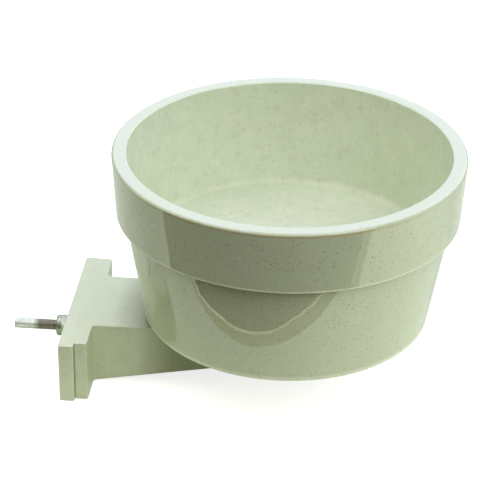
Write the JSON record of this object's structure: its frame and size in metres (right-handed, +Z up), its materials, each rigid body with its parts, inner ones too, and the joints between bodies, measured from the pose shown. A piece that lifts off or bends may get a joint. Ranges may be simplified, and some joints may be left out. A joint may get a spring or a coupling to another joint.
{
  "type": "cage-mount seed cup",
  "caption": "Deep round pet cup that twist-locks onto a moulded bracket, which a bolted plate clamps to the wires of a cage.",
  "frame": {"origin": "where the clamp bolt's axis meets the bracket flange's cage-side face", "axes": "+X from the cage towards the cup, +Z up, +Y completes the right hand; the outline is alike on both sides of Y = 0"},
  "size_m": [0.1945, 0.149, 0.1063],
  "materials": {
    "cup_plastic": "polished pale sage with fine dark specks",
    "bracket_plastic": "satin pale sage with fine dark specks",
    "plated_steel": "bright zinc plating",
    "nut_ring": "smooth off-white nylon"
  },
  "bodies": {
    "bracket": {"bracket": "bracket_plastic", "bolt": "plated_steel"},
    "cup": {"cup": "cup_plastic"},
    "clamp": {"clamp_plate": "bracket_plastic", "washer": "plated_steel"},
    "nut": {"lock_nut": "plated_steel", "nut_insert": "nut_ring"}
  },
  "joints": [
    {"name": "cup_lock", "type": "hinge", "parent": "bracket", "child": "cup", "pos_m": [0.08745, 0, 0.0165], "axis": [0, 0, 1], "range_deg": [0, 60]},
    {"name": "clamp_slide", "type": "slide", "parent": "bracket", "child": "clamp", "axis": [-1, 0, 0], "range_m": [0, 0.01588]},
    {"name": "nut_spin", "type": "hinge", "parent": "clamp", "child": "nut", "pos_m": [-0.0107, 0, 0], "axis": [-1, 0, 0], "range_deg": [0, 5400]}
  ],
  "couplings": [
    {"joint": "nut_spin", "follows": "clamp_slide", "rad_per_m": 5936.9}
  ]
}
